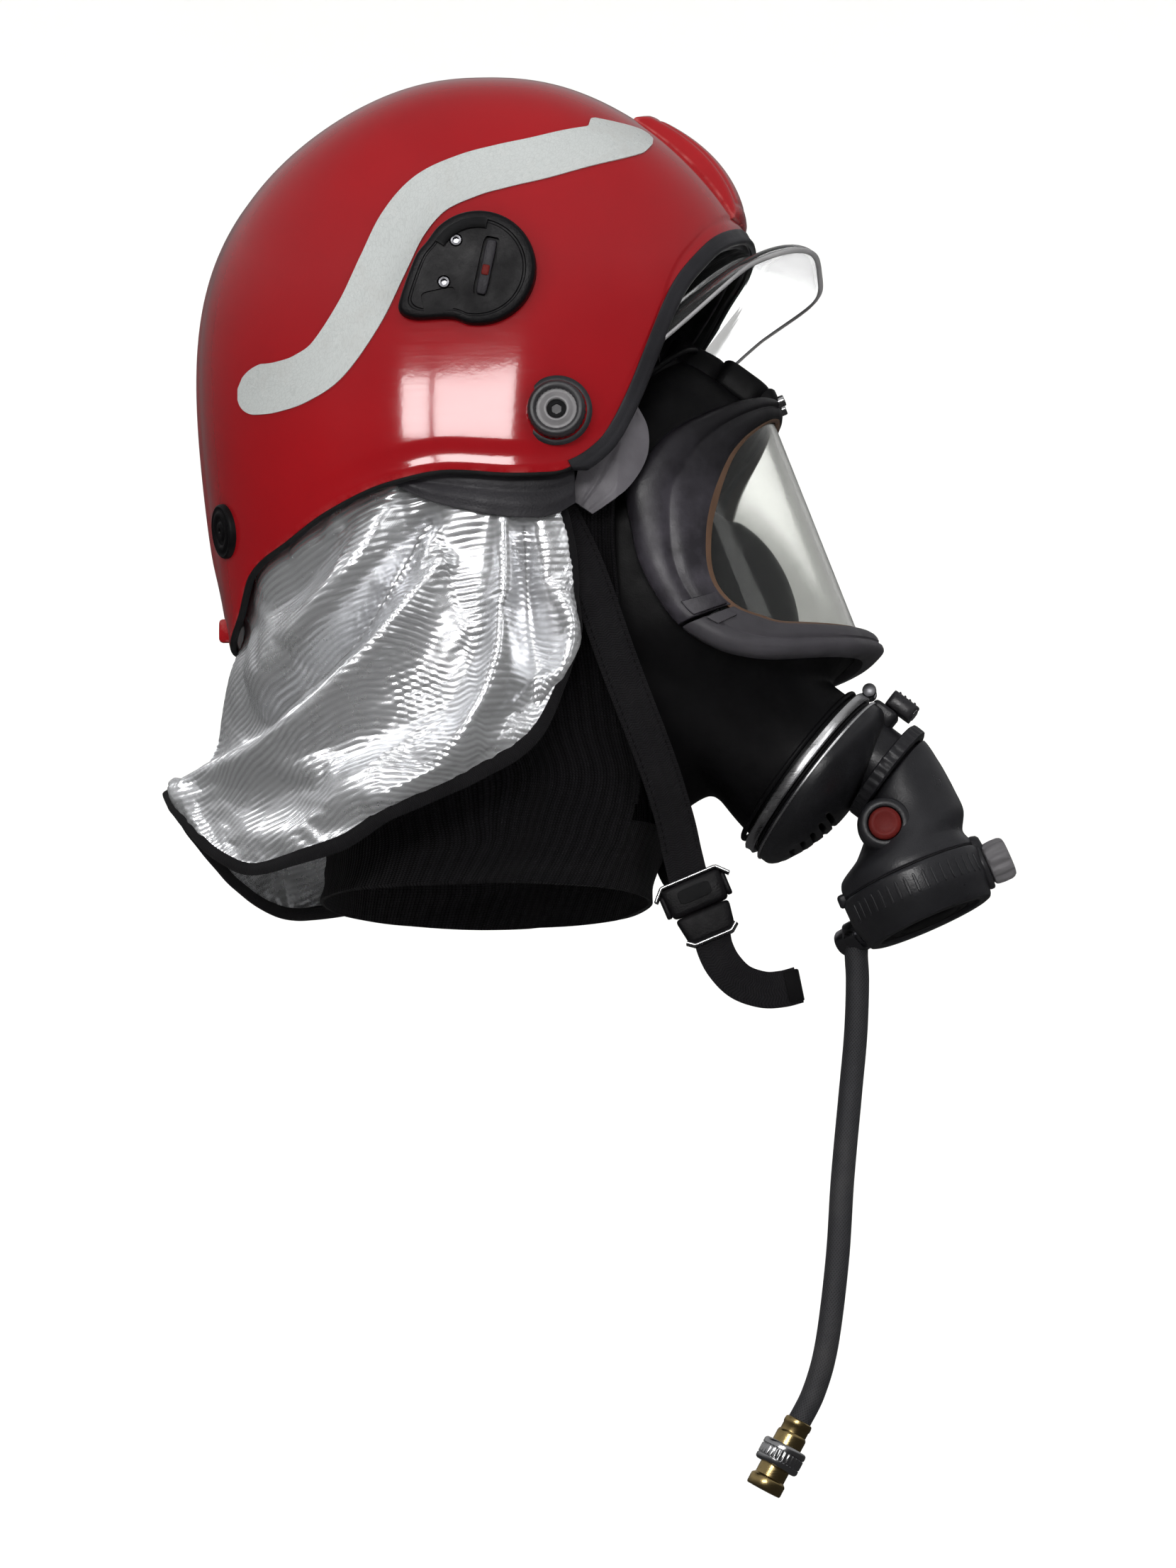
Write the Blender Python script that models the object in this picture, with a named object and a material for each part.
"""Fire-fighter's head set as worn: jet-style helmet with swing-down visor, aluminised neck
curtain, knitted smoke hood, and a full-face breathing mask with demand valve and supply hose.
All dimensions are in millimetres; objects are written in metres.
Frame: +X forward, +Y the wearer's left, +Z up. Origin: centre of the crown pad's lower face.
Paired pieces are drawn on the wearer's right (-Y) and mirrored."""
import math
from typing import NamedTuple

import bmesh
import bpy
import numpy as np

for old in list(bpy.data.objects):
    bpy.data.objects.remove(old, do_unlink=True)

MM = 0.001
ORIGIN = np.zeros(3)
X_AXIS, Y_AXIS, Z_AXIS = np.eye(3)
MIRROR = np.array([1.0, -1.0, 1.0])     # right-hand side to left-hand side

# ---------------------------------------------------------------- driving dimensions (mm)
SHELL_TOP = 40.0
SHELL_T = 4.0
SECTION_EXP = 2.3                       # superellipse exponent of the shell's level sections

PIVOT = np.array([41.0, 0.0, -137.0])   # visor pivot axis, which runs along Y
PIVOT_R = 4.0
VISOR_R, VISOR_W, VISOR_EXP = 126.5, 97.0, 2.2
VISOR_T = 2.0
VISOR_LOW, VISOR_HIGH = 35.0, 88.0      # degrees about the pivot axis, from +X upwards

LENS_R = 75.0                           # radius of the mask's cylindrical lens
LENS_TOP = np.array([135.0, 0.0, -118.0])    # upper end of the lens's median line
LENS_RUN = (0.361, 0.0, -0.933)              # the way that line runs down

PORT_CENTRE = np.array([154.6, 0.0, -291.0])  # centre of the clamp band
PORT_TILT = 0.657                       # port axis, radians below +X
NECK_R = 41.5                           # outside of the facepiece's neck under the clamp band
PLUG_UP = 23.0                          # the demand valve's plug above the port axis
BASE_CENTRE = np.array([199.5, 0.0, -337.0])  # top of the valve's base ring
BASE_TILT = 1.160                       # base ring axis, radians below +X
BASE_H = 25.0
HOSE_R = 5.5

# Shell profiles in the plane y = 0, from the crown down: (z, x)
FRONT_PROFILE = (
    (40.0, 2.0), (38.0, 29.0), (34.0, 43.5), (26.6, 62.0), (19.0, 74.5), (9.5, 87.0),
    (-5.0, 102.5), (-26.0, 120.0), (-34.0, 125.5), (-60.0, 131.0), (-100.0, 132.0),
    (-165.0, 125.0))
REAR_PROFILE = (
    (40.0, 2.0), (36.0, -33.0), (28.5, -52.0), (17.0, -73.0), (4.0, -90.0), (-17.0, -109.5),
    (-32.0, -118.5), (-55.0, -128.0), (-76.0, -132.5), (-95.0, -134.0), (-114.0, -133.5),
    (-142.0, -131.0), (-171.0, -128.0), (-190.0, -125.5), (-207.0, -123.0), (-228.0, -119.0))
# Half width of the shell: (z, y)
WIDTH_PROFILE = (
    (40.0, 0.0), (36.0, 42.0), (28.0, 62.0), (17.0, 79.0), (4.0, 91.0), (-17.0, 102.0),
    (-32.0, 107.0), (-55.0, 112.0), (-76.0, 115.0), (-100.0, 117.0), (-130.0, 118.0),
    (-165.0, 118.0), (-190.0, 113.0), (-228.0, 100.0))
# Lower edge of the shell seen from the side, from the nape to the brow: (x, z)
RIM_PROFILE = (
    (-119.0, -228.0), (-112.0, -219.0), (-105.0, -203.0), (-85.0, -191.0), (-66.0, -180.0),
    (-35.0, -168.0), (-8.0, -163.5), (20.0, -165.0), (40.0, -164.0), (50.0, -160.0),
    (62.0, -150.0), (72.0, -132.0), (81.0, -109.0), (95.0, -73.0), (104.0, -59.0),
    (112.0, -48.5), (121.0, -40.0), (127.0, -34.0))


# ---------------------------------------------------------------- finishes
class Finish(NamedTuple):
    colour: tuple
    rough: float
    metal: float = 0.0
    transmission: float = 0.0


RED = (0.40, 0.012, 0.018)
GREY = (0.055, 0.055, 0.06)
BLACK = (0.016, 0.016, 0.018)
RING_BLACK = (0.05, 0.045, 0.055)
WEBBING_BLACK = (0.02, 0.02, 0.02)
BUCKLE_BLACK = (0.04, 0.04, 0.045)


def add_material(name, finish):
    material = bpy.data.materials.new(name)
    material.use_nodes = True
    inputs = material.node_tree.nodes["Principled BSDF"].inputs
    inputs["Base Color"].default_value = (*finish.colour, 1.0)
    inputs["Roughness"].default_value = finish.rough
    inputs["Metallic"].default_value = finish.metal
    inputs["Transmission Weight"].default_value = finish.transmission
    return material


# ---------------------------------------------------------------- curves and vectors
def unit(vector):
    vector = np.array(vector, float)
    return vector / np.linalg.norm(vector)


def unit_rows(vectors):
    return vectors / np.linalg.norm(vectors, axis=1)[:, None]


def signed_power(value, power):
    return np.sign(value) * np.abs(value)**power


def superellipse(centre_x, half_length, half_width, phi, exponent, z):
    """Points at the angles phi of a level superellipse centred on y = 0."""
    c, s, power = np.cos(phi), np.sin(phi), 2 / exponent
    return np.stack([centre_x + half_length * signed_power(c, power),
                     half_width * signed_power(s, power), z + 0 * c], -1)


def smooth_interp(knots, x):
    """Monotone cubic through the (x, y) knots."""
    xs, ys = np.array(knots, float).T
    step, slope = np.diff(xs), np.diff(ys) / np.diff(xs)
    tangent = np.zeros(len(xs))
    for i in range(1, len(xs) - 1):
        if slope[i - 1] * slope[i] > 0:
            before = 2 * step[i] + step[i - 1]
            after = step[i] + 2 * step[i - 1]
            tangent[i] = (before + after) / (before / slope[i - 1] + after / slope[i])
    tangent[0], tangent[-1] = slope[0], slope[-1]
    x = np.clip(np.asarray(x, float), xs[0], xs[-1])
    i = np.clip(np.searchsorted(xs, x) - 1, 0, len(xs) - 2)
    t = (x - xs[i]) / step[i]
    return ((2 * t**3 - 3 * t**2 + 1) * ys[i]
            + (t**3 - 2 * t**2 + t) * step[i] * tangent[i]
            + (3 * t**2 - 2 * t**3) * ys[i + 1]
            + (t**3 - t**2) * step[i] * tangent[i + 1])


def spline(points, count, closed=False):
    """Evenly spaced points along a Catmull-Rom curve through the given ones."""
    knots = np.array(points, float)
    if closed:
        padded = np.vstack([knots[-1], knots, knots[0], knots[1]])
    else:
        padded = np.vstack([2 * knots[0] - knots[1], knots, 2 * knots[-1] - knots[-2]])
    fine = []
    for a, b, c, d in zip(padded, padded[1:], padded[2:], padded[3:]):
        for t in np.linspace(0, 1, 12, endpoint=False):
            fine.append(0.5 * ((2 * b) + (c - a) * t + (2 * a - 5 * b + 4 * c - d) * t * t
                               + (3 * b - a - 3 * c + d) * t**3))
    fine.append(knots[0] if closed else knots[-1])
    fine = np.array(fine)
    length = np.r_[0, np.cumsum(np.linalg.norm(np.diff(fine, axis=0), axis=1))]
    stations = np.linspace(0, length[-1], count, endpoint=not closed)
    return np.stack([np.interp(stations, length, column) for column in fine.T], 1)


def mirrored_loop(right):
    """Closed loop from a right half whose two ends lie on the median plane."""
    return np.vstack([right, right[-2:0:-1] * MIRROR])


def circle(centre, axis, radius, count):
    axis = unit(axis)
    side = np.cross(Y_AXIS, axis)
    if np.linalg.norm(side) < 1e-6:
        side = np.cross(Z_AXIS, axis)
    side = unit(side)
    other = np.cross(axis, side)
    angle = np.linspace(0, 2 * math.pi, count, endpoint=False)
    return (np.array(centre, float) + np.outer(np.cos(angle) * radius, side)
            + np.outer(np.sin(angle) * radius, other))


def fluted_circle(centre, side_a, side_b, radius, count, flutes, depth):
    """Circle in the plane of side_a and side_b with a wavy radius."""
    angle = np.linspace(0, 2 * math.pi, count, endpoint=False)
    wavy = radius + depth * np.cos(flutes * angle)
    return (centre + np.outer(wavy * np.cos(angle), side_a)
            + np.outer(wavy * np.sin(angle), side_b))


def rectangle(origin, side_a, span_a, side_b, span_b):
    """Four corners; each span is the start and end along its side from the origin."""
    (a0, a1), (b0, b1) = span_a, span_b
    return np.array([origin + side_a * a + side_b * b
                     for a, b in ((a0, b0), (a1, b0), (a1, b1), (a0, b1))])


# ---------------------------------------------------------------- sheets and solids
# A sheet or a solid is a pair: points in mm, and faces as tuples of point indices.
def grid_faces(rows, columns, wrap=False, keep=None):
    faces = []
    for i in range(rows - 1):
        for j in range(columns if wrap else columns - 1):
            if keep is None or keep(i, j):
                k = (j + 1) % columns
                faces.append((i * columns + j, i * columns + k,
                              (i + 1) * columns + k, (i + 1) * columns + j))
    return faces


def close_with_fan(points, faces, columns, apex):
    """Closes a wrapped grid's first row with triangles to an apex."""
    last = len(points)
    fan = [(last, (j + 1) % columns, j) for j in range(columns)]
    return np.vstack([points, apex]), faces + fan


def face_edges(face):
    return zip(face, face[1:] + face[:1])


def vertex_normals(points, faces, away_from=None):
    """Area-weighted normals, turned as a whole to point away from the given centre."""
    normals = np.zeros_like(points)
    for face in faces:
        area = np.zeros(3)
        for a, b in face_edges(face):
            area += np.cross(points[a], points[b])
        for a in face:
            normals[a] += area
    length = np.linalg.norm(normals, axis=1)
    length[length == 0] = 1
    normals = normals / length[:, None]
    if away_from is not None and np.sum(normals * (points - np.array(away_from))) < 0:
        normals = -normals
    return normals


def join_sheets(first, second, faces):
    """Closed solid between two sheets that share the same faces."""
    count = len(first)
    solid = list(faces) + [tuple(i + count for i in reversed(face)) for face in faces]
    # A dict keeps the edges in the order of the faces.
    edges = dict.fromkeys(edge for face in faces for edge in face_edges(face))
    for a, b in edges:
        if (b, a) not in edges:
            solid.append((b, a, a + count, b + count))
    return np.vstack([first, second]), solid


def thicken(points, faces, first, second, outward=None):
    """Closed solid between the sheet moved by two distances along its normals, which point
    away from the centre given as outward."""
    used = sorted({i for face in faces for i in face})
    renumbered = {old_index: i for i, old_index in enumerate(used)}
    points = np.array(points, float)[used]
    faces = [tuple(renumbered[i] for i in face) for face in faces]
    normals = vertex_normals(points, faces, outward)
    return join_sheets(points + normals * first, points + normals * second, faces)


def thicken_grid(grid, first, second, outward):
    """The same for a whole grid of points."""
    rows, columns = grid.shape[:2]
    return thicken(grid.reshape(-1, 3), grid_faces(rows, columns), first, second, outward)


def loft(loops, ring=False):
    """Skin through equal-length loops, with flat caps or closed on itself as a ring."""
    size, count = len(loops[0]), len(loops)
    faces = grid_faces(count, size, wrap=True)
    last = (count - 1) * size
    if ring:
        for j in range(size):
            k = (j + 1) % size
            faces.append((last + j, last + k, k, j))
    else:
        faces.append(tuple(range(size)))
        faces.append(tuple(reversed(range(last, last + size))))
    return np.vstack(loops), faces


def turned(centre, axis, profile, count, ring=False):
    """Turned piece: profile is (radius, distance along the axis) pairs."""
    centre, axis = np.array(centre, float), unit(axis)
    return loft([circle(centre + axis * along, axis, radius, count)
                 for radius, along in profile], ring)


def sweep(path, section_offsets, up):
    """Sweeps (side, up) offsets along a path; up is one vector or one for each point."""
    ups = np.broadcast_to(np.array(up, float), path.shape)
    loops = []
    for i, point in enumerate(path):
        run = unit(path[min(i + 1, len(path) - 1)] - path[max(i - 1, 0)])
        side = unit(np.cross(run, ups[i]))
        rise = np.cross(side, run)
        loops.append(np.array([point + side * p + rise * q for p, q in section_offsets]))
    return loft(loops)


def strap(points, count, half_width, thickness, facing):
    """Flat strap along a curve; facing gives the normal at a point."""
    path = spline(points, count)
    edges = []
    for i, point in enumerate(path):
        run = unit(path[min(i + 1, count - 1)] - path[max(i - 1, 0)])
        side = unit(np.cross(run, np.array(facing(point), float)))
        edges += [point - side * half_width, point + side * half_width]
    return thicken(edges, grid_faces(count, 2), thickness / 2, -thickness / 2)


# ---------------------------------------------------------------- objects
def link_object(name, data):
    ob = bpy.data.objects.new(name, data)
    bpy.context.scene.collection.objects.link(ob)
    return ob


def add_empty(name, at):
    ob = link_object(name, None)
    ob.location = [a * MM for a in at]
    return ob


def make_mesh(name, points, faces):
    mesh = bpy.data.meshes.new(name)
    mesh.from_pydata([tuple(np.array(p) * MM) for p in points], [],
                     [tuple(int(i) for i in face) for face in faces])
    return mesh


def edit_mesh(mesh, step):
    bm = bmesh.new()
    bm.from_mesh(mesh)
    step(bm)
    bm.to_mesh(mesh)
    bm.free()


def face_outwards(bm):
    bmesh.ops.recalc_face_normals(bm, faces=bm.faces)
    if bm.calc_volume(signed=True) < 0:
        bmesh.ops.reverse_faces(bm, faces=bm.faces)


def weld_and_face_outwards(bm):
    bmesh.ops.remove_doubles(bm, verts=bm.verts, dist=1e-6)
    face_outwards(bm)


def triangulate(bm):
    bmesh.ops.triangulate(bm, faces=bm.faces, quad_method="BEAUTY", ngon_method="BEAUTY")


def piece(name, solid, finish, at=ORIGIN, parent=None, sharp=35, mirror=False, cutters=()):
    """Makes the named object. at is its origin: a point on its joint's axis if it moves.
    sharp is the angle in degrees above which edges are shaded sharp; cutters are pairs of a
    helper object and its boolean operation."""
    points, faces = solid
    points, at = np.array(points, float), np.array(at, float)
    if mirror:
        points, at = points * MIRROR, at * MIRROR
    mesh = make_mesh(name, points - at, faces)
    edit_mesh(mesh, weld_and_face_outwards)
    if not cutters:
        edit_mesh(mesh, triangulate)
    mesh.shade_smooth()
    mesh.set_sharp_from_angle(angle=math.radians(sharp))
    mesh.materials.append(add_material(name + "_finish", finish))
    ob = link_object(name, mesh)
    if parent is None:
        ob.location = [a * MM for a in at]
    else:
        ob.parent = parent
        ob.location = [a * MM - b for a, b in zip(at, parent.matrix_basis.translation)]
    for helper, operation in cutters:
        modifier = ob.modifiers.new(helper.name, "BOOLEAN")
        modifier.operation = operation
        modifier.solver = "EXACT"
        modifier.object = helper


def both(name, solid, finish, **options):
    """The right-hand piece as given and its mirror image on the left."""
    piece(name + "_right", solid, finish, **options)
    piece(name + "_left", solid, finish, mirror=True, **options)


def cutter(name, solid):
    """Hidden helper for a boolean, drawn in world coordinates."""
    mesh = make_mesh(name, *solid)
    edit_mesh(mesh, face_outwards)
    ob = link_object(name, mesh)
    ob.hide_render = True
    ob.display_type = "WIRE"
    return ob


# ---------------------------------------------------------------- the shell's surface
CROWN_WEIGHT = 30.0              # holds the fitted curves to their crown point
BODY_CENTRE = (0, 0, -100)       # a point inside the helmet


def depth_root(z):
    """Square root of the depth below the crown; polynomials in it make the crown round."""
    return np.sqrt(np.maximum(SHELL_TOP - np.asarray(z, float), 0.0))


def fit(profile):
    """Sixth-degree polynomial in depth_root through a (z, offset) profile."""
    heights, offsets = np.array(profile).T
    weights = np.ones(len(heights))
    weights[0] = CROWN_WEIGHT
    return np.polyfit(depth_root(heights), offsets, 6, w=weights)


FRONT_FIT, REAR_FIT, WIDTH_FIT = fit(FRONT_PROFILE), fit(REAR_PROFILE), fit(WIDTH_PROFILE)


def section(z):
    """Centre x, half length and half width of the shell at height z."""
    root = depth_root(z)
    front, rear, width = (np.polyval(p, root) for p in (FRONT_FIT, REAR_FIT, WIDTH_FIT))
    return ((front + rear) / 2, np.maximum((front - rear) / 2, 1e-3),
            np.maximum(width, 1e-3))


def shell_point(phi, z):
    return superellipse(*section(z), phi, SECTION_EXP, np.asarray(z, float))


def shell_y(x, z):
    """Half width of the shell's outer surface at x and z."""
    centre_x, half_length, half_width = section(z)
    share = np.clip(np.abs((x - centre_x) / half_length), 0, 1)
    return half_width * (1 - share**SECTION_EXP)**(1 / SECTION_EXP)


def shell_x_front(y, z):
    """x of the shell's front at y and z."""
    centre_x, half_length, half_width = section(z)
    share = np.clip(np.abs(y / half_width), 0, 1)
    return centre_x + half_length * (1 - share**SECTION_EXP)**(1 / SECTION_EXP)


def side_point(x, z):
    """Point of the shell's right side at x and z."""
    return np.array([x, -shell_y(x, z), z])


def side_normal(x, z):
    """Outward normal of the shell's right side, by central differences."""
    e = 0.5
    along_x = np.array([2 * e, -(shell_y(x + e, z) - shell_y(x - e, z)), 0])
    along_z = np.array([0, -(shell_y(x, z + e) - shell_y(x, z - e)), 2 * e])
    normal = unit(np.cross(along_x, along_z))
    return -normal if normal[1] > 0 else normal


def rim_z(phi):
    """Height of the shell's lower edge at angle phi, found by damped fixed-point steps."""
    z = np.full(np.shape(phi), -120.0)
    for _ in range(60):
        z = 0.6 * z + 0.4 * smooth_interp(RIM_PROFILE, shell_point(phi, z)[..., 0])
    return z


def shell_sheet(columns, rows, floor=-math.inf):
    """Outer surface down to the lower edge, or to the floor where that is higher. The first
    row is a small ring about the apex, closed by a fan."""
    phi = np.linspace(0, 2 * math.pi, columns, endpoint=False)
    edge_z = np.maximum(rim_z(phi), floor)
    share = np.linspace(0.045, 1, rows)[:, None]
    z = edge_z + (SHELL_TOP - edge_z) * np.cos(share * math.pi / 2)
    points = shell_point(np.broadcast_to(phi, z.shape), z).reshape(-1, 3)
    apex = points[:columns].mean(0)
    apex[2] = min(SHELL_TOP, points[:columns, 2].max() + 0.25)
    return close_with_fan(points, grid_faces(rows, columns, wrap=True), columns, apex)


# ---------------------------------------------------------------- helmet shell
PIVOT_CLEARANCE = 0.6


def helmet_shell():
    return thicken(*shell_sheet(38, 9), 0.0, -SHELL_T, outward=BODY_CENTRE)


def pivot_bore():
    radius = PIVOT_R + PIVOT_CLEARANCE
    return turned(PIVOT - Y_AXIS * 150, Y_AXIS, [(radius, 0), (radius, 300)], 16)


CREST_ROWS, CREST_COLUMNS = 7, 9
CREST_TOP, CREST_BOTTOM = 19.0, -31.0            # z
CREST_HALF_TOP, CREST_HALF_WIDENING = 24, 10     # half width at the top, and its increase
CREST_RISE = 8.5
CREST_GAP, CREST_EDGE = 0.9, 1.6                 # back and edge of the crest off the shell


def front_normal(y, z):
    """Outward normal of the shell's front, by central differences."""
    slope_z = (shell_x_front(y, z + 1) - shell_x_front(y, z - 1)) / 2
    slope_y = (shell_x_front(abs(y) + 1, z) - shell_x_front(max(abs(y) - 1, 0), z)) / 2
    return unit([1.0, -slope_y * (1 if y > 0 else -1), -slope_z])


def front_crest():
    rows, columns = CREST_ROWS, CREST_COLUMNS
    top, base = [], []
    for i, z in enumerate(np.linspace(CREST_TOP, CREST_BOTTOM, rows)):
        share = i / (rows - 1)
        half = CREST_HALF_TOP + CREST_HALF_WIDENING * i / (rows - 1)
        rise = CREST_RISE * math.sin(math.pi * (0.16 + 0.60 * share))**0.8
        for y in np.linspace(-half, half, columns):
            point = np.array([shell_x_front(y, z), y, z])
            normal = front_normal(y, z)
            base.append(point + normal * CREST_GAP)
            top.append(point + normal * (CREST_EDGE + rise * (1 - (abs(y) / half)**5)))
    count = rows * columns
    sheet = grid_faces(rows, columns)
    faces = sheet + [tuple(i + count for i in reversed(face)) for face in sheet]
    border = (list(range(columns))
              + [i * columns + columns - 1 for i in range(1, rows)]
              + [(rows - 1) * columns + j for j in range(columns - 2, -1, -1)]
              + [i * columns for i in range(rows - 2, 0, -1)])
    for a, b in face_edges(border):
        faces.append((a, b, b + count, a + count))
    return np.vstack([top, base]), faces


TRIM_X_MIN = 48.0                # the bead runs along the edge forward of this
TRIM_POINTS = 41
TRIM_SECTION = ((1.8, -2.8), (4.8, -2.8), (4.8, 1.0), (1.8, 1.0))   # (below edge, outwards)


def rim_path(x_min, count):
    """The shell's lower edge from the right-hand side round the face to the left."""
    phi = np.linspace(-math.pi, math.pi, 721)
    points = shell_point(phi, rim_z(phi))
    return spline(points[points[:, 0] >= x_min][::4], count)


def point_up_the_shell(point, rise):
    """Where the section through the point, scaled to the shell, lies at a greater height."""
    z = point[2] + rise
    centre_x, half_length, half_width = section(z)
    own_centre_x, own_half_length, own_half_width = section(point[2])
    return np.array([centre_x + (point[0] - own_centre_x) * half_length / own_half_length,
                     point[1] * half_width / own_half_width, z])


def face_edge_trim():
    """Bead along the face opening: it continues the shell's surface past the free edge."""
    path = rim_path(TRIM_X_MIN, TRIM_POINTS)
    loops = []
    for i, point in enumerate(path):
        run = unit(path[min(i + 1, TRIM_POINTS - 1)] - path[max(i - 1, 0)])
        down = unit(point - point_up_the_shell(point, 3.0))
        down = unit(down - run * np.dot(down, run))
        normal = np.cross(run, down)
        if np.dot(normal, point - np.array(BODY_CENTRE)) < 0:
            normal = -normal
        loops.append(np.array([point + down * below + normal * out
                               for below, out in TRIM_SECTION]))
    return loft(loops)


def build_shell():
    piece("helmet_shell", helmet_shell(), Finish(RED, rough=0.18), sharp=40,
          cutters=[(cutter("pivot_bore", pivot_bore()), "DIFFERENCE")])
    piece("front_crest", front_crest(), Finish(RED, rough=0.2), sharp=50)
    piece("face_edge_trim", face_edge_trim(), Finish(GREY, rough=0.55))


# ---------------------------------------------------------------- liner, headband, crown
LINER_GAP, LINER_T, LINER_FLOOR = 2.0, 11.0, -108.0
BAY_X, BAY_Y, BAY_Z = (34, 170), (-160, 160), (-160, 80)
BROW_SCALE, BROW_T = 0.955, 4.0          # brow padding as a share of the visor's size

BAND_CENTRE_X = -8
BAND_HALF_LENGTH, BAND_HALF_WIDTH = 91.0, 77.0
BAND_T = 2.0

# Rings of the cradle from the disc out to the arms' ends:
# (radius, z, width as a share of the radius, shift backwards)
CRADLE_RINGS = ((14, 9.6, 1.0, 0), (38.5, 9.6, 1.0, 0), (45.0, -19.0, 0.86, 0),
                (60, -30.0, 0.86, 4), (72, -46.0, 0.86, 4), (82, -70.0, 0.86, 4))
CRADLE_HALF_T = 0.7


def impact_liner():
    points, faces = shell_sheet(24, 6, floor=LINER_FLOOR)
    outer = points - vertex_normals(points, faces, BODY_CENTRE) * (SHELL_T + LINER_GAP)
    inner = outer - vertex_normals(outer, faces, BODY_CENTRE) * LINER_T
    return join_sheets(outer, inner, faces)


def visor_bay():
    """Block that clears the liner in front, where the stowed visor lies."""
    return loft([rectangle(Z_AXIS * z, X_AXIS, BAY_X, Y_AXIS, BAY_Y) for z in BAY_Z])


def brow_liner():
    """Front padding between the stowed visor and the forehead."""
    points = [visor_point(elevation, across, BROW_SCALE, flared=False)
              for elevation in np.linspace(50, 82, 5) for across in np.linspace(-62, 62, 13)]
    return thicken(points, grid_faces(5, 13), 0.0, -BROW_T, outward=PIVOT)


def headband():
    phi = np.linspace(0, 2 * math.pi, 30, endpoint=False)
    return loft([superellipse(BAND_CENTRE_X, BAND_HALF_LENGTH - inset,
                              BAND_HALF_WIDTH - inset, phi, 2.1, z)
                 for inset, z in ((0, -104), (0, -78), (BAND_T, -78), (BAND_T, -104))],
                ring=True)


def crown_pad():
    return turned(ORIGIN, Z_AXIS, [(33, 0), (36, 2), (36, 6), (33, 8)], 22)


def crown_cradle():
    """Disc above the crown pad with six arms that follow the head down to the headband."""
    columns = 24
    points = []
    for radius, z, width_share, shift in CRADLE_RINGS:
        for j in range(columns):
            angle = 2 * math.pi * (j + 0.5) / columns
            points.append((radius * math.cos(angle) - shift,
                           radius * width_share * math.sin(angle), z))
    arms = grid_faces(len(CRADLE_RINGS), columns, wrap=True,
                      keep=lambda i, j: i < 1 or (j + 1) % 4 == 0)
    sheet = close_with_fan(points, arms, columns, (0, 0, CRADLE_RINGS[0][1]))
    return thicken(*sheet, CRADLE_HALF_T, -CRADLE_HALF_T, outward=(0, 0, -60))


def build_interior():
    piece("impact_liner", impact_liner(), Finish((0.06, 0.06, 0.065), rough=0.85),
          cutters=[(cutter("visor_bay", visor_bay()), "DIFFERENCE")])
    piece("brow_liner", brow_liner(), Finish((0.05, 0.05, 0.055), rough=0.85))
    piece("headband", headband(), Finish(BLACK, rough=0.6))
    piece("crown_pad", crown_pad(), Finish((0.03, 0.03, 0.035), rough=0.9))
    piece("crown_cradle", crown_cradle(), Finish(BLACK, rough=0.7))


# ---------------------------------------------------------------- pieces on the shell's side
# Outlines of the guards seen from the side: (x, z)
EAR_TOP = [(-31, -158), (-8, -155), (15, -155), (35, -155), (48, -153)]
EAR_LOW = [(-33, -170), (-19, -177), (1, -182), (20, -185), (38, -184), (49, -178)]
CHEEK_BACK = [(66, -122), (60, -138), (52, -152), (48, -166), (46, -174)]
CHEEK_FRONT = [(76, -129), (81, -139), (81.5, -150), (78, -160), (71, -170), (62, -177),
               (56, -181)]
GUARD_T = 2.6
GUARD_LOWEST_Z = -165.0          # below this the guards keep the shell's width here


def side_patch(first, second, columns, inset, limit=math.inf):
    """Plate between two outlines, following the shell inset mm inside its outer surface but
    no farther than limit from the median plane."""
    points = []
    for share in np.arange(4) / 3:
        for p, q in zip(spline(first, columns), spline(second, columns)):
            x, z = p + (q - p) * share
            y = min(shell_y(x, max(z, GUARD_LOWEST_Z)) - inset, limit)
            points.append((x, -y, z))
    return thicken(points, grid_faces(4, columns), 0.0, -GUARD_T, outward=(0, 0, -140))


BRACKET_Y = 122.0                # the bracket's flat face is at y = -BRACKET_Y
BRACKET_X, BRACKET_Z, BRACKET_R = 5, -71, 26.6   # round part of its outline
BRACKET_TAIL = [(-24, -66), (-30.5, -84), (-31, -91), (-24, -94.5)]   # rest of it (x, z)
BRACKET_GAP = 0.35               # back of the bracket off the shell
CUT_START = 5                    # the recess cutters start this far outside the face
SCREW_AT = (("upper", -5.0, -58.5), ("lower", -10.5, -78.0))          # (place, x, z)
RAIL_X, RAIL_HALF_WIDTH, RAIL_HALF_HEIGHT, RAIL_DEPTH = 9, 3.2, 13.5, 2.4


def lamp_bracket():
    """Pad whose back follows the shell and whose face is flat, with a sloping edge."""
    outline = [(BRACKET_X + BRACKET_R * math.cos(angle), BRACKET_Z + BRACKET_R * math.sin(angle))
               for angle in np.radians(np.linspace(-118, 152, 15))]
    outline = spline(outline + BRACKET_TAIL, 36, closed=True)
    centre = outline.mean(0)

    def loop(scale, half_width):
        x, z = (centre + (outline - centre) * scale).T
        return np.stack([x, -half_width(shell_y(x, z) + BRACKET_GAP), z], 1)

    return loft([loop(0.55, lambda back: back), loop(1.0, lambda back: back),
                 loop(1.0, lambda back: np.maximum(BRACKET_Y - 3.0, back + 1.0)),
                 loop(0.95, lambda back: np.full_like(back, BRACKET_Y))])


def screw_recess(x, z):
    return turned((x, -BRACKET_Y - CUT_START, z), Y_AXIS, [(2.9, 0), (2.9, 8.2)], 14)


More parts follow.
